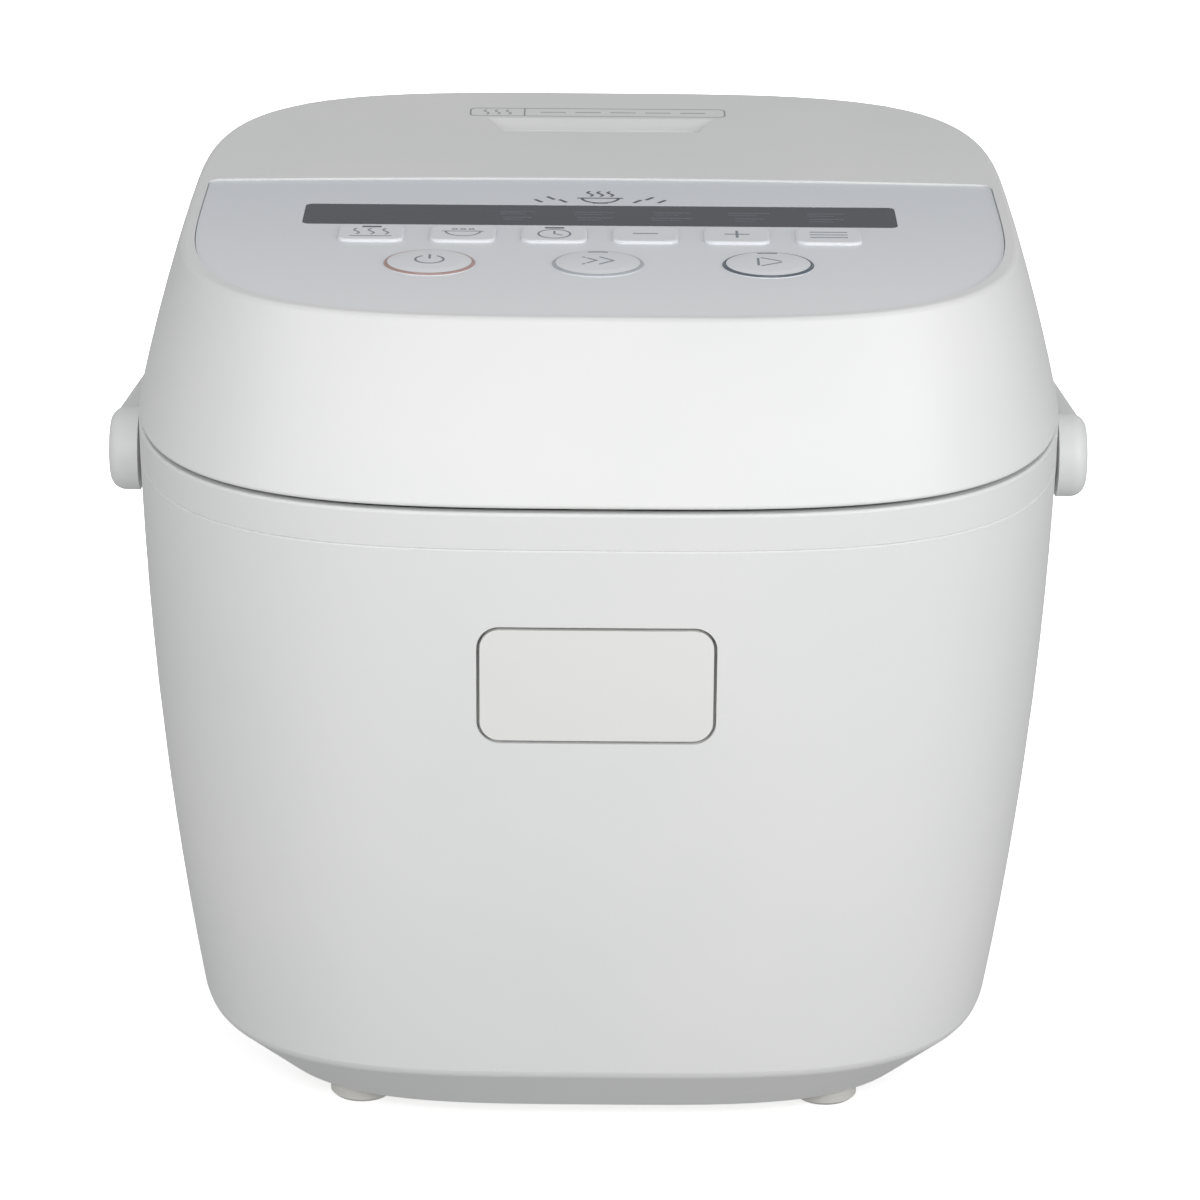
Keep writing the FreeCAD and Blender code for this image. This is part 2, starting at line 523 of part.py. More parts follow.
for x0, x1 in ((33.7, 43.7), (54.3, 64.0), (-43.7, -33.7), (-64.0, -54.3)):
    knuckle = cyl_x(HINGE_R, x0, x1, HINGE_Y, HINGE_Z).fuse(
        box(x0, x1, 144.4, HINGE_Y, 197.7, HINGE_Z + HINGE_R))
    added.append(knuckle.cut(cyl_x(PIN_R + 0.04, x0 - 1, x1 + 1, HINGE_Y, HINGE_Z)))
save("lid_shell", lid.fuse(added).removeSplitter())

# ---- lid lining, heated plate, detachable inner lid ---------------------------------------
edge = lid_section(197.4, WALL + 0.15)
liner = Part.Face(edge).extrude(Vector(0, 0, -2.4))
liner = liner.fuse(cyl(106.5, 0, 0, 197.0, 206.0)).cut(cyl(104.0, 0, 0, 190, 204.5))
liner = liner.cut(cyl(98.0, 0, 0, 190, 210))
liner = liner.cut(box(-9.7, 9.7, -152.0, -127.8, 190, 200))
liner = liner.cut(box(-9.7, 9.7, -127.8, -126.1, 190, 197.4))
for x, y in lid_boss_spots:
    liner = liner.cut(cyl(1.8, x, y, 190, 200)).cut(cyl(3.7, x, y, 190, 196.0))
save("lid_liner", liner.removeSplitter())
lid_screws = [screw(x, y, 194.4, 208.0) for x, y in lid_boss_spots]
save("lid_screws", Part.makeCompound(lid_screws))
duct_y = 78.0
save("lid_heat_plate", cyl(103.7, 0, 0, 203.3, 204.5).cut(cyl(8.0, 0, duct_y, 200, 210)))
lid_heater = Part.makeTorus(55.0, 1.5, Vector(0, 0, 206.0), Z_AXIS)
save("lid_heater", lid_heater)
save("lid_sensor", cyl(6.0, 0, -20, 204.5, 211.0))
inner_lid = cyl(100.0, 0, 0, 197.0, 198.2).cut(cyl(6.0, 0, duct_y, 190, 200))
inner_lid = inner_lid.fuse(ring(60.0, 62.0, 196.2, 197.0)).fuse(cyl(9.0, 0, 0, 192.5, 197.0))
save("inner_lid", inner_lid.removeSplitter())
gasket = revolve([(98.0, 198.4), (98.0, 199.6), (102.4, 199.6), (103.6, 195.0), (114.0, 195.0),
                  (114.0, 193.6), (109.5, 191.4), (104.0, 191.4), (101.0, 195.8), (98.0, 195.8),
                  (98.0, 196.8), (100.3, 196.8), (100.3, 198.4)])
save("lid_gasket", gasket)
save("steam_seal", ring(7.0, 10.5, 198.2, 203.3, 0, duct_y))
save("steam_duct", ring(8.0, 10.0, 204.5, 232.9, 0, duct_y))
tray = box(-36, 36, 70.5, 86, -12.0, -LID_ROOF).cut(box(-29, 29, 74.3, 81.0, -9.5, 0))
for x in (-6, 0, 6):
    tray = tray.cut(box(x - 1.5, x + 1.5, 75.5, 80.0, -14, -8))
save("steam_vent", on_rear_top(tray))
lip = box(-9.3, 9.3, LATCH_Y + 4.6, -126.2, 194.5, 196.0)
catch = lip.fuse(box(-9.3, 9.3, -127.7, -126.2, 194.5, 198.6))
catch = catch.fuse(box(-9.3, 9.3, -126.2, -112.0, 197.4, 198.6))
save("lid_catch", catch.removeSplitter())

# ---- control panel ------------------------------------------------------------------------
low_w = -PANEL_DROP - PANEL_T
overlay = panel_shape(0.0, low_w, -PANEL_DROP)
overlay = overlay.cut(rounded(wx0 - 0.15, wx1 + 0.15, wy0 - 0.15, wy1 + 0.15, -5, 2, 2.2))
for x in BIG_KEYS.values():
    overlay = overlay.cut(cyl(BIG_KEY_R + KEY_GAP, x, BIG_KEY_Y, -5, 2))
for x in SMALL_KEYS.values():
    overlay = overlay.cut(rounded(x - sw / 2 - KEY_GAP, x + sw / 2 + KEY_GAP, SMALL_KEY_Y - sd / 2 - KEY_GAP,
                                  SMALL_KEY_Y + sd / 2 + KEY_GAP, -5, 2, sr + KEY_GAP))
save("panel_overlay", on_panel(overlay))
save("display_window", on_panel(rounded(wx0, wx1, wy0, wy1, low_w, -PANEL_DROP, 2.0)))
module = box(wx0 + 4.3, wx1 - 4.3, wy0 + 2, wy1 - 2, -10.0, -2.2)
module = module.fuse(box(wx0 + 1, wx1 - 1, wy0 + 0.6, wy1 + 1, -10.0, -LID_ROOF - 0.2))
save("display_module", on_panel(module.removeSplitter()))
board = box(-95, 95, -87, -6, -15.6, -14.0)
for x, y in board_spots:
    board = board.cut(cyl(1.6, x, y, -20, -10))
save("control_board", on_panel(board))
board_screws = []
for x, y in board_spots:
    board_screws.append(on_panel(cyl(2.8, x, y, -17.2, -15.6).fuse(cyl(1.5, x, y, -15.6, -8.5))
                                 .removeSplitter()))
save("board_screws", Part.makeCompound(board_screws))
switches = []
key_spots = [(x, BIG_KEY_Y) for x in BIG_KEYS.values()]
key_spots += [(x, SMALL_KEY_Y) for x in SMALL_KEYS.values()]
for x, y in key_spots:
    switch = box(x - 3, x + 3, y - 3, y + 3, -14.0, -10.6).fuse(cyl(1.7, x, y, -10.6, -9.3))
    switches.append(on_panel(switch.removeSplitter()))
save("tact_switches", Part.makeCompound(switches))
for name, x in BIG_KEYS.items():
    r = BIG_KEY_R
    cap = revolve([(0, -8.6), (2.5, -8.6), (2.5, -6.3), (r + 1.5, -6.3), (r + 1.5, -5.4),
                   (r, -5.4), (r, -0.5), (r - 0.5, -0.1), (r * 0.7, 0.35), (r * 0.35, 0.55),
                   (0, 0.6)], x, BIG_KEY_Y)
    save(name, on_panel(cap))
for name, x in SMALL_KEYS.items():
    cap = rounded(x - sw / 2, x + sw / 2, SMALL_KEY_Y - sd / 2, SMALL_KEY_Y + sd / 2, -5.4, 0.3, sr)
    top = [e for e in cap.Edges if e.BoundBox.ZMin > 0.29]
    cap = cap.makeFillet(0.8, top)
    flange = rounded(x - sw / 2 - 1.4, x + sw / 2 + 1.4, SMALL_KEY_Y - sd / 2 - 1.4,
                     SMALL_KEY_Y + sd / 2 + 1.4, -6.3, -5.4, sr + 1.4)
    stem = cyl(2.5, x, SMALL_KEY_Y, -8.6, -6.3)
    save(name, on_panel(cap.fuse(flange).fuse(stem).removeSplitter()))
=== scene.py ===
import bpy
import bmesh
import json
import math
from mathutils import Matrix, Vector


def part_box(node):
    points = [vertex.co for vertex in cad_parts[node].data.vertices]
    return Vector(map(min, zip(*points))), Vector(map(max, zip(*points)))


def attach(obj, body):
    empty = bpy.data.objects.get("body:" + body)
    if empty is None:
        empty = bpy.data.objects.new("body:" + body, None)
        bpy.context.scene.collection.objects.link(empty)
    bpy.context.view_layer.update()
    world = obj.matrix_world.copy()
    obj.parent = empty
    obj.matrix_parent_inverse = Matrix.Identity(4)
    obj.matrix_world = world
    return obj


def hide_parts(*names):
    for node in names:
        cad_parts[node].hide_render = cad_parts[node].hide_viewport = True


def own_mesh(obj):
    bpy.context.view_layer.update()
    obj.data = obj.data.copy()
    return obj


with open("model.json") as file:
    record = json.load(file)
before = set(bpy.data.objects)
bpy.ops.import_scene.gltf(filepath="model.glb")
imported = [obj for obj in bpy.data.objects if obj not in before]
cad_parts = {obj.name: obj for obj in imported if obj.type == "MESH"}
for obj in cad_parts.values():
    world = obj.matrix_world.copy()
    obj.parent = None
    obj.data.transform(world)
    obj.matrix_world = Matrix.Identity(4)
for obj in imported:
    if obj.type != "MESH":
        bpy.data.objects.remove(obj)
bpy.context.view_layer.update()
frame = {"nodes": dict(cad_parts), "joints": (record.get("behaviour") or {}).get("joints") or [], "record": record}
nodes = frame["nodes"]
scene = bpy.context.scene
MM = 0.001
INK_LOW, INK_HIGH = -0.05, 0.03          # millimetres below and above the printed surface
FLOOR_SIZE = 60.0
FLOOR_GLOW = 0.55
WORLD_STRENGTH = 0.37
CAMERA_ELEVATION = math.radians(18.74)
CAMERA_ROLL = math.radians(0.43)
CAMERA_DISTANCE = 1.451
CAMERA_TARGET_HEIGHT = 0.125
FOCAL_LENGTH = 143.2
CAMERA_SHIFT = (0.0022, -0.0193)


# ---- node material helpers ----------------------------------------------------------------
def srgb(r, g, b):
    """Linear colour of an 8 bit sRGB colour."""
    out = []
    for value in (r, g, b):
        c = value / 255
        out.append(c / 12.92 if c <= 0.04045 else ((c + 0.055) / 1.055) ** 2.4)
    return out + [1.0]


class Surface:
    """A Principled material with a few procedural layers."""

    def __init__(self, name, roughness=0.4, **sockets):
        self.mat = bpy.data.materials.new(name)
        self.mat.use_nodes = True
        self.tree = self.mat.node_tree
        self.shader = self.tree.nodes["Principled BSDF"]
        self.shader.inputs["Roughness"].default_value = roughness
        for key, value in sockets.items():
            self.shader.inputs[key.replace("_", " ")].default_value = value
        self.coords = self.add("ShaderNodeTexCoord").outputs["Object"]
        self.height = None

    def add(self, kind, **values):
        node = self.tree.nodes.new(kind)
        for key, value in values.items():
            setattr(node, key, value)
        return node

    def link(self, a, b):
        self.tree.links.new(a, b)

    def noise(self, scale, detail=2.0, stretch=(1, 1, 1)):
        mapping = self.add("ShaderNodeMapping")
        mapping.inputs["Scale"].default_value = stretch
        self.link(self.coords, mapping.inputs["Vector"])
        node = self.add("ShaderNodeTexNoise")
        node.inputs["Scale"].default_value = scale
        node.inputs["Detail"].default_value = detail
        self.link(mapping.outputs["Vector"], node.inputs["Vector"])
        return node.outputs["Fac"]

    def mix_colors(self, factor, a, b, low=0.35, high=0.65):
        ramp = self.add("ShaderNodeValToRGB")
        ramp.color_ramp.elements[0].position = low
        ramp.color_ramp.elements[1].position = high
        ramp.color_ramp.elements[0].color = a
        ramp.color_ramp.elements[1].color = b
        self.link(factor, ramp.inputs["Fac"])
        self.link(ramp.outputs["Color"], self.shader.inputs["Base Color"])
        return self

    def vary_roughness(self, factor, low, high):
        span = self.add("ShaderNodeMapRange")
        span.inputs["To Min"].default_value = low
        span.inputs["To Max"].default_value = high
        self.link(factor, span.inputs["Value"])
        self.link(span.outputs["Result"], self.shader.inputs["Roughness"])
        return self

    def bump(self, height, strength, distance):
        node = self.add("ShaderNodeBump")
        node.inputs["Strength"].default_value = strength
        node.inputs["Distance"].default_value = distance
        self.link(height, node.inputs["Height"])
        if self.height is not None:
            self.link(self.height, node.inputs["Normal"])
        self.height = node.outputs["Normal"]
        self.link(self.height, self.shader.inputs["Normal"])
        return self


def plastic(name, dark, light, roughness=0.42, grain=1400.0, texture=0.25, **sockets):
    """Moulded plastic: a fine moulded grain, slow colour drift, uneven gloss."""
    s = Surface(name, roughness, **sockets)
    s.mix_colors(s.noise(9.0, 3.0), dark, light)
    s.vary_roughness(s.noise(40.0, 3.0), roughness - 0.05, roughness + 0.05)
    s.bump(s.noise(grain, 2.0), texture, 0.00004)
    s.bump(s.noise(28.0, 1.0), 0.12, 0.0002)
    return s.mat


def metal(name, dark, light, roughness, stretch, grain=900.0, texture=0.2):
    """Metal with a fine drawn grain along one direction."""
    s = Surface(name, roughness, Metallic=1.0)
    s.mix_colors(s.noise(grain / 3, 2.0, stretch), dark, light, 0.2, 0.8)
    s.vary_roughness(s.noise(grain, 2.0, stretch), roughness - 0.05, roughness + 0.06)
    s.bump(s.noise(grain, 2.0, stretch), texture, 0.00002)
    return s.mat


def spun(name, dark, light, roughness, axis_y):
    """Sheet metal spun round the pot's axis: faint rings that follow the turning."""
    s = Surface(name, roughness, Metallic=1.0)
    split = s.add("ShaderNodeSeparateXYZ")
    s.link(s.coords, split.inputs["Vector"])
    shifted = s.add("ShaderNodeMath", operation="SUBTRACT")
    shifted.inputs[1].default_value = axis_y
    s.link(split.outputs["Y"], shifted.inputs[0])
    flat = s.add("ShaderNodeCombineXYZ")
    s.link(split.outputs["X"], flat.inputs["X"])
    s.link(shifted.outputs["Value"], flat.inputs["Y"])
    radius = s.add("ShaderNodeVectorMath", operation="LENGTH")
    s.link(flat.outputs["Vector"], radius.inputs["Vector"])
    rings = s.add("ShaderNodeTexNoise", noise_dimensions="1D")
    rings.inputs["Scale"].default_value = 700.0
    rings.inputs["Detail"].default_value = 3.0
    s.link(radius.outputs["Value"], rings.inputs["W"])
    s.mix_colors(rings.outputs["Fac"], dark, light, 0.25, 0.75)
    s.vary_roughness(rings.outputs["Fac"], roughness - 0.04, roughness + 0.06)
    s.bump(rings.outputs["Fac"], 0.15, 0.00002)
    return s.mat


def board_material():
    """Green solder mask over copper tracks."""
    s = Surface("circuit_board", 0.35)
    tracks = s.add("ShaderNodeTexBrick")
    tracks.inputs["Scale"].default_value = 110.0
    tracks.inputs["Mortar Size"].default_value = 0.012
    tracks.inputs["Color1"].default_value = srgb(20, 84, 48)
    tracks.inputs["Color2"].default_value = srgb(24, 94, 54)
    tracks.inputs["Mortar"].default_value = srgb(58, 130, 74)
    s.link(s.coords, tracks.inputs["Vector"])
    s.link(tracks.outputs["Color"], s.shader.inputs["Base Color"])
    s.bump(tracks.outputs["Fac"], 0.4, 0.00005)
    return s.mat


def coating():
    """Dark non-stick coating with fine light flecks."""
    s = Surface("pot_coating", 0.34, Metallic=0.2)
    s.mix_colors(s.noise(900.0, 2.0), srgb(44, 44, 47), srgb(96, 96, 100), 0.62, 0.74)
    s.bump(s.noise(700.0, 2.0), 0.2, 0.00004)
    return s.mat


def display_glass():
    """Smoked display window: unlit glass over dark slate, with a slow tone drift."""
    s = Surface("display_glass", 0.22)
    s.mix_colors(s.noise(14.0, 2.0), srgb(46, 50, 61), srgb(53, 57, 68))
    s.bump(s.noise(60.0, 1.0), 0.05, 0.0001)
    return s.mat


def film():
    """Printed panel film: pale blue grey, finely matt, over a flat bed, with painted light: lighter towards the
    front and darker towards the back.
    """
    s = Surface("panel_film", 0.34, Coat_Weight=0.12, Coat_Roughness=0.25)
    split = s.add("ShaderNodeSeparateXYZ")
    s.link(s.coords, split.inputs["Vector"])
    # painted light: a front-to-back ramp makes the film lighter at the front and darker at the back, standing in
    # for the fall-off of the front light; the noise adds a real slow tone drift
    painted_shade_ramp = s.add("ShaderNodeMapRange")
    painted_shade_ramp.inputs["From Min"].default_value = -0.14
    painted_shade_ramp.inputs["From Max"].default_value = 0.01
    s.link(split.outputs["Y"], painted_shade_ramp.inputs["Value"])
    tone_and_painted_shade = s.add("ShaderNodeMath", operation="MULTIPLY_ADD")
    tone_and_painted_shade.inputs[1].default_value = 0.12
    s.link(s.noise(7.0, 2.0), tone_and_painted_shade.inputs[0])
    s.link(painted_shade_ramp.outputs["Result"], tone_and_painted_shade.inputs[2])
    # painted shade ramp: light colour at the front, darker blue grey towards the back
    s.mix_colors(tone_and_painted_shade.outputs["Value"], srgb(246, 248, 251), srgb(228, 232, 238), 0.0, 1.0)
    s.vary_roughness(s.noise(55.0, 3.0), 0.30, 0.38)
    s.bump(s.noise(1800.0, 1.0), 0.12, 0.00003)
    return s.mat


def ink(name, color):
    """Screen printed ink with slightly uneven cover."""
    s = Surface(name, 0.45)
    other = [c * 1.12 for c in color[:3]] + [1.0]
    s.mix_colors(s.noise(1600.0, 2.0), color, other)
    s.bump(s.noise(2500.0, 1.0), 0.2, 0.00002)
    return s.mat


white = plastic("shell_white", srgb(233, 234, 234), srgb(237, 238, 237), 0.42)
white_smooth = plastic("button_white", srgb(236, 236, 234), srgb(239, 239, 237), 0.32, 2200.0, 0.12)
# painted shade: the base is the shell's white plastic given a darker, warmer tone because it faces down into shade
base_white_painted_shade = plastic("base_white_painted_shade", srgb(222, 221, 218), srgb(228, 227, 224), 0.48)
inner_grey = plastic("inner_grey", srgb(150, 152, 154), srgb(160, 162, 164), 0.45)
black = plastic("black_plastic", srgb(26, 26, 27), srgb(34, 34, 35), 0.42)
acetal = plastic("acetal", srgb(214, 213, 208), srgb(222, 221, 216), 0.36)
rubber = plastic("foot_rubber", srgb(206, 205, 201), srgb(214, 213, 209), 0.62, 900.0, 0.4)
silicone = plastic("silicone", srgb(186, 189, 192), srgb(198, 200, 203), 0.38, 1100.0, 0.2,
                   Transmission_Weight=0.1)
panel_film = film()
key_film = plastic("key_film", srgb(236, 239, 243), srgb(240, 242, 246), 0.30, 2200.0, 0.1,
                   Coat_Weight=0.15, Coat_Roughness=0.2)
glass = display_glass()
lcd = plastic("lcd_module", srgb(60, 68, 62), srgb(72, 80, 74), 0.3)
steel = metal("plated_steel", srgb(176, 178, 180), srgb(200, 202, 204), 0.32, (1, 1, 12))
pot_low, pot_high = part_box("inner_pot")
aluminium = spun("spun_aluminium", srgb(202, 203, 204), srgb(216, 217, 218), 0.38,
                 (pot_low.y + pot_high.y) / 2)
brass = metal("brass_contacts", srgb(196, 164, 96), srgb(214, 184, 116), 0.28, (1, 12, 1))
board = board_material()
pot = coating()
red_ink = ink("ink_red", srgb(176, 148, 143))
pale_ink = ink("ink_pale", srgb(176, 181, 187))
slate_ink = ink("ink_slate", srgb(94, 104, 115))
lamp_ink = ink("ink_lamp", srgb(92, 95, 101))
key_ink = ink("ink_key", srgb(132, 140, 150))
dark_ink = ink("ink_dark", srgb(88, 92, 100))
segment_ink = ink("ink_segment", srgb(100, 104, 114))
outline_ink = ink("ink_outline", srgb(156, 158, 160))

BY_SLOT = {
    "white_shell": white, "grey_top": white, "white_button": white_smooth,
    "base_grey": base_white_painted_shade, "inner_plastic": inner_grey, "panel_film": panel_film,
    "key_plastic": key_film, "window": glass, "lcd": lcd, "board": board,
    "black_plastic": black, "steel": steel, "aluminium": aluminium, "brass": brass,
    "pot_coating": pot, "silicone": silicone, "foot_rubber": rubber, "latch_plastic": acetal,
}
for part in frame["record"]["subparts"]:
    node = nodes[part["node"]]
    node.data.materials.clear()
    node.data.materials.append(BY_SLOT[part["material_slot"]])

# ---- coil springs, copied to meshes of their own on the cooker body -----------------------
for node, joint, axis in (("sensor_spring", "sensor_plunge", Vector((0, 0, 1))),
                          ("button_spring", "open_button_push", Vector((0, -1, 0)))):
    coil = bpy.data.objects.new(node + "_coil", nodes[node].data.copy())
    scene.collection.objects.link(coil)
    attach(coil, "cooker")
    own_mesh(coil)
    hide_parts(node)

# ---- the panel's own plane, taken from the frame ------------------------------------------
press = next(j for j in frame["joints"] if j["name"] == "key_start_press")
NORMAL = -Vector(press["axis"]).normalized()
ALONG = Vector((0, NORMAL.z, -NORMAL.y))
panel_low, panel_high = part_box("panel_overlay")
ORIGIN = Vector((0, panel_high.y, panel_high.z))


def on_panel(x, y, height):
    """Point over plan position x, y (metres), at a height above the film."""
    flat = ORIGIN + ALONG * ((y - ORIGIN.y) / ALONG.y)
    return Vector((x, flat.y, flat.z)) + NORMAL * height


# ---- printed marks: strokes lying on a surface --------------------------------------------
class Print:
    """Strokes that become one thin closed mesh lying on a node's own surface."""

    def __init__(self, name, node, origin, material, body, low=INK_LOW, high=INK_HIGH):
        self.bm = bmesh.new()
        self.name, self.material, self.body = name, material, body
        self.surface = nodes.get(node)
        self.x, self.y = origin
        self.low, self.high = low * MM, high * MM

    def lift(self, x, y, height):
        if self.surface is None:
            return on_panel(self.x + x * MM, self.y + y * MM, height)
        start = on_panel(self.x + x * MM, self.y + y * MM, 0.02)
        hit, spot, _, _ = self.surface.ray_cast(start, -NORMAL)
        if not hit:
            raise ValueError(self.name + " has a point off its surface")
        return spot + NORMAL * height

    def band(self, left, right, closed):
        low, high = self.low, self.high
        rows = []
        for a, b in zip(left, right):
            rows.append([self.bm.verts.new(self.lift(a.x, a.y, low)),
                         self.bm.verts.new(self.lift(a.x, a.y, high)),
                         self.bm.verts.new(self.lift(b.x, b.y, high)),
                         self.bm.verts.new(self.lift(b.x, b.y, low))])
        pairs = list(zip(rows, rows[1:]))
        if closed:
            pairs.append((rows[-1], rows[0]))
        for one, two in pairs:
            for i in range(4):
                j = (i + 1) % 4
                self.bm.faces.new((one[i], one[j], two[j], two[i]))
        if not closed:
            self.bm.faces.new(rows[0][::-1])
            self.bm.faces.new(rows[-1])

    def stroke(self, points, width, closed=False):
        points = [Vector(p) for p in points]
        last = len(points) - 1
        left, right = [], []
        for i, p in enumerate(points):
            steps = []
            if i > 0 or closed:
                steps.append((p - points[i - 1]).normalized())
            if i < last or closed:
                steps.append((points[(i + 1) % len(points)] - p).normalized())
            way = sum(steps, Vector((0, 0))).normalized()
            side = Vector((-way.y, way.x))
            turn = max(0.5, side.dot(Vector((-steps[0].y, steps[0].x))))
            left.append(p + side * width / 2 / turn)
            right.append(p - side * width / 2 / turn)
        self.band(left, right, closed)
        return self

    def line(self, x0, y0, x1, y1, width, steps=4):
        return self.stroke([(x0 + (x1 - x0) * i / steps, y0 + (y1 - y0) * i / steps)
                            for i in range(steps + 1)], width)

    def arc(self, x, y, r, start, end, width, steps=24):
        closed = end - start > 359
        count = steps if closed else steps + 1
        angles = [math.radians(start + (end - start) * i / steps) for i in range(count)]
        return self.stroke([(x + r * math.cos(a), y + r * math.sin(a)) for a in angles], width, closed)

    def frame(self, x0, x1, y0, y1, r, width):
        points = []
        for cx, cy, start in ((x1 - r, y1 - r, 0), (x0 + r, y1 - r, 90),
                              (x0 + r, y0 + r, 180), (x1 - r, y0 + r, 270)):
            for i in range(6):
                a = math.radians(start + 18 * i)
                points.append((cx + r * math.cos(a), cy + r * math.sin(a)))
        return self.stroke(points, width, True)

    def wave(self, x, y0, y1, swing, width):
        steps = 14
        return self.stroke([(x + swing * math.sin(2 * math.pi * i / steps), y0 + (y1 - y0) * i / steps)
                            for i in range(steps + 1)], width)

    def done(self):
        bmesh.ops.recalc_face_normals(self.bm, faces=self.bm.faces)
        mesh = bpy.data.meshes.new(self.name)
        self.bm.to_mesh(mesh)
        self.bm.free()
        piece = bpy.data.objects.new(self.name, mesh)
        scene.collection.objects.link(piece)
        mesh.materials.append(self.material)
        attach(piece, self.body)
        return piece


def centre(node):
    low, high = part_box(node)
    return (low.x + high.x) / 2, (low.y + high.y) / 2


# coloured rims of the three large keys, and the indicator lamps of four keys
for key, colour in (("key_cancel", red_ink), ("key_quick", pale_ink), ("key_start", slate_ink)):
    rim = Print(key + "_rim", key, centre(key), colour, key)
    rim.arc(0, 0, 12.2, 0, 360, 0.56, 96).arc(0, 0, 12.74, 0, 360, 0.42, 96).done()
    seal = Print(key + "_seal", None, centre(key), panel_film, "lid", -0.4, -0.05)
    seal.arc(0, 0, 13.075, 0, 360, 0.13, 96).done()
for key in ("key_keep_warm", "key_taste", "key_timer", "key_minus", "key_plus", "key_menu"):
    seal = Print(key + "_seal", None, centre(key), panel_film, "lid", -0.4, -0.05)
    seal.frame(-9.575, 9.575, -8.075, 8.075, 3.575, 0.13).done()
for key, back in (("key_keep_warm", 5.4), ("key_timer", 5.4), ("key_quick", 9.9), ("key_start", 9.9)):
    Print(key + "_lamp", key, centre(key), lamp_ink, key).line(-2.8, back, 2.8, back, 1.4).done()

# plain symbols on the keys
Print("mark_cancel", "key_cancel", centre("key_cancel"), key_ink, "key_cancel") \
    .arc(0, 0, 4.0, 120, 420, 0.7, 30).line(0, 0.6, 0, 5.2, 0.7).done()
quick = Print("mark_quick", "key_quick", centre("key_quick"), key_ink, "key_quick")
for x in (-4.4, 0.4):
    quick.stroke([(x, 3.8), (x + 4.0, 0), (x, -3.8)], 0.7)
quick.done()
Print("mark_start", "key_start", centre("key_start"), key_ink, "key_start") \
    .line(-2.0, 4.2, 3.8, 0.5, 0.7).line(3.8, -0.5, -2.0, -4.2, 0.7) \
    .line(-2.8, -3.8, -2.8, 3.8, 0.7).done()
warm = Print("mark_keep_warm", "key_keep_warm", centre("key_keep_warm"), key_ink, "key_keep_warm")
for x in (-4.2, 0, 4.2):
    warm.wave(x, -2.6, 3.4, 0.8, 0.6)
warm.line(-6.0, -4.4, 6.0, -4.4, 0.6).done()
taste = Print("mark_taste", "key_taste", centre("key_taste"), key_ink, "key_taste")
taste.arc(0, 1.2, 5.0, 180, 360, 0.6).line(-6.0, 1.2, 6.0, 1.2, 0.6)
for x in (-2.4, 0.0, 2.4):
    taste.arc(x, 3.4, 0.7, 0, 360, 0.45, 10)
taste.done()
Print("mark_timer", "key_timer", centre("key_timer"), key_ink, "key_timer") \
    .arc(0, -1.0, 4.6, 0, 360, 0.6, 36).stroke([(0, 2.0), (0, -1.0), (2.4, -2.4)], 0.6).done()
Print("mark_minus", "key_minus", centre("key_minus"), key_ink, "key_minus") \
    .line(-3.6, 0, 3.6, 0, 0.8).done()
Print("mark_plus", "key_plus", centre("key_plus"), key_ink, "key_plus") \
    .line(-3.6, 0, 3.6, 0, 0.8).line(0, -3.6, 0, -0.4, 0.8).line(0, 0.4, 0, 3.6, 0.8).done()
menu = Print("mark_menu", "key_menu", centre("key_menu"), key_ink, "key_menu")
for y in (-2.8, 0.0, 2.8):
    menu.line(-5.4, y, 5.4, y, 0.7)
menu.done()

# unlit segments of the display, and a plain bowl with grains between it and the panel's back
glass_low, glass_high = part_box("display_window")
middle = (glass_low.y + glass_high.y) / 2
segments = Print("display_segments", "display_window", (0, middle), segment_ink, "lid")
for column in range(5):
    x = -24.0 + 22.5 * column
    for y, reach in ((3.4, 5.4 + 0.7 * (column % 2)), (-2.6, 4.2 + 0.9 * (column % 3))):
        segments.line(x - reach, y, x + reach, y, 1.1)
        segments.line(x - reach, y - 2.4, x + reach * 0.4, y - 2.4, 0.9)
segments.done()
bowl = Print("panel_bowl", "panel_overlay", (0, glass_high.y), dark_ink, "lid")
bowl.arc(0, 8.4, 5.4, 180, 360, 0.9).line(-6.8, 8.4, 6.8, 8.4, 0.9).line(-2.2, 2.8, 2.2, 2.8, 0.9)
for x in (-3.0, 0.0, 3.0):
    bowl.wave(x, 10.4, 16.0, 0.8, 0.8)
for side in (-1, 1):
    for x, y in ((11.0, 5.0), (14.6, 8.2), (18.2, 5.0)):
        bowl.stroke([(side * (x - 1.1), y - 1.6), (side * x, y), (side * (x + 1.1), y + 1.6)], 1.1)
bowl.done()

# outline with plain steam waves behind the steam outlet
outlet = Print("lid_outline", "lid_shell", centre("steam_vent"), outline_ink, "lid")
outlet.frame(-41.0, 39.0, 14.6, 24.0, 2.0, 0.55)
outlet.line(-24.0, 14.9, -24.0, 23.7, 0.5)
for x in (-36.0, -32.5, -29.0):
    outlet.wave(x, 16.4, 22.2, 0.7, 0.55)
for x in (-19.0, -8.0, 3.0, 14.0, 25.0):
    outlet.line(x, 19.3, x + 8.0, 19.3, 0.7)
outlet.done()

scene.view_settings.view_transform = "Standard"
scene.view_settings.look = "None"

# ---- floor, light and camera --------------------------------------------------------------
bpy.ops.mesh.primitive_plane_add(size=FLOOR_SIZE, location=(0, 0, 0))
floor = bpy.context.object
floor.name = "floor"
floor_surface = Surface("floor_paint", 0.95)
floor_surface.mix_colors(floor_surface.noise(2.0, 2.0), (0.90, 0.90, 0.90, 1), (0.92, 0.92, 0.92, 1))
floor_surface.shader.inputs["Specular IOR Level"].default_value = 0.1
floor_surface.shader.inputs["Emission Color"].default_value = (1.0, 1.0, 1.0, 1.0)
floor_surface.shader.inputs["Emission Strength"].default_value = FLOOR_GLOW
floor.data.materials.append(floor_surface.mat)
floor.visible_diffuse = False
floor.visible_glossy = False

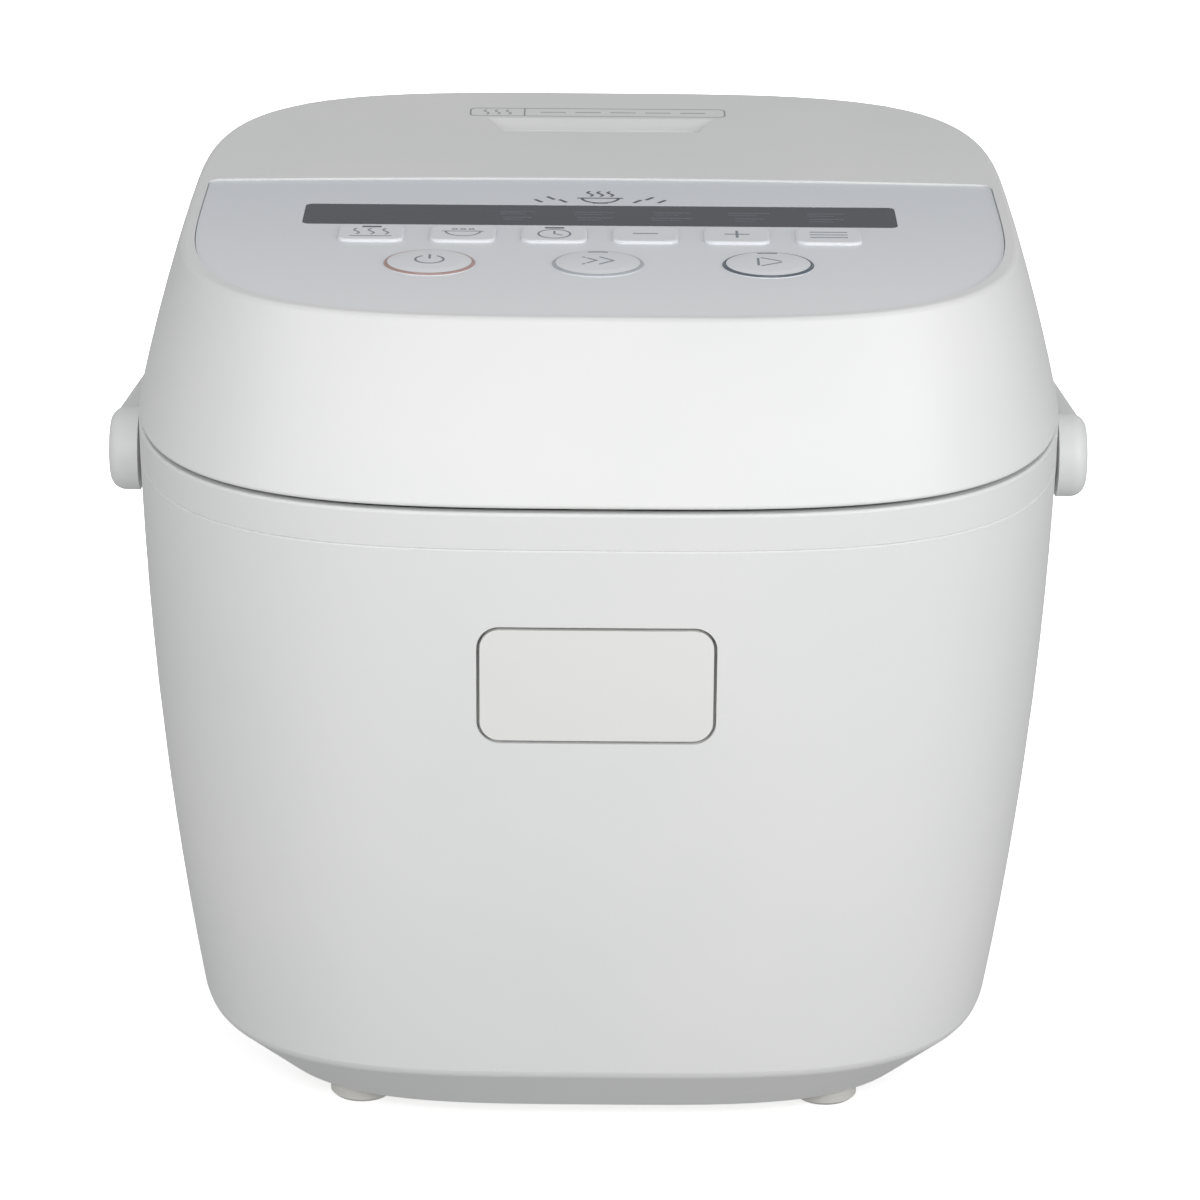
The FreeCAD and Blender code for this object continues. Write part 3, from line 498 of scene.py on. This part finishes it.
world = bpy.data.worlds.new("studio")
scene.world = world
world.use_nodes = True
world.node_tree.nodes["Background"].inputs["Color"].default_value = (1.0, 1.0, 1.0, 1.0)
world.node_tree.nodes["Background"].inputs["Strength"].default_value = WORLD_STRENGTH


def area(name, location, target, size, power):
    """White rectangular area light that faces target; power in watts."""
    data = bpy.data.lights.new(name, "AREA")
    data.shape = "RECTANGLE"
    data.size, data.size_y = size
    data.energy = power
    light = bpy.data.objects.new(name, data)
    scene.collection.objects.link(light)
    light.location = location
    light.rotation_euler = (Vector(target) - Vector(location)).to_track_quat("-Z", "Y").to_euler()
    return light


area("key_light", (0.1, -1.1, 0.62), (0, 0, 0.15), (2.0, 0.6), 6.8)
area("left_light", (-1.1, -0.8, 0.55), (0, 0, 0.15), (0.5, 0.9), 2.6)
area("right_light", (1.1, -0.8, 0.55), (0, 0, 0.15), (0.5, 0.9), 4.8)
area("top_light", (0, -0.4, 1.5), (0, 0, 0.2), (1.0, 0.8), 0.8)
back_light = area("back_light", (0, 1.5, 0.6), (0, 0, 0.15), (1.4, 0.7), 4.5)
back_light.visible_glossy = False
floor_light = area("floor_light", (0, 1.0, 8.0), (0, 1.0, 0), (4.0, 4.0), 760.0)
floor_only = bpy.data.collections.new("floor_only")
floor_only.objects.link(floor)
floor_light.light_linking.receiver_collection = floor_only

shell_low, shell_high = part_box("outer_shell")
target = Vector((0, (shell_low.y + shell_high.y) / 2, CAMERA_TARGET_HEIGHT))
camera_data = bpy.data.cameras.new("camera")
camera_data.sensor_width = 36.0
camera_data.lens = FOCAL_LENGTH
camera_data.shift_x, camera_data.shift_y = CAMERA_SHIFT
camera = bpy.data.objects.new("camera", camera_data)
scene.collection.objects.link(camera)
toward_camera = Vector((0, -math.cos(CAMERA_ELEVATION), math.sin(CAMERA_ELEVATION)))
camera.location = target + toward_camera * CAMERA_DISTANCE
camera.rotation_mode = "QUATERNION"
look = (target - camera.location).to_track_quat("-Z", "Y")
roll = Matrix.Rotation(CAMERA_ROLL, 4, "Z").to_quaternion()
camera.rotation_quaternion = look @ roll
scene.camera = camera
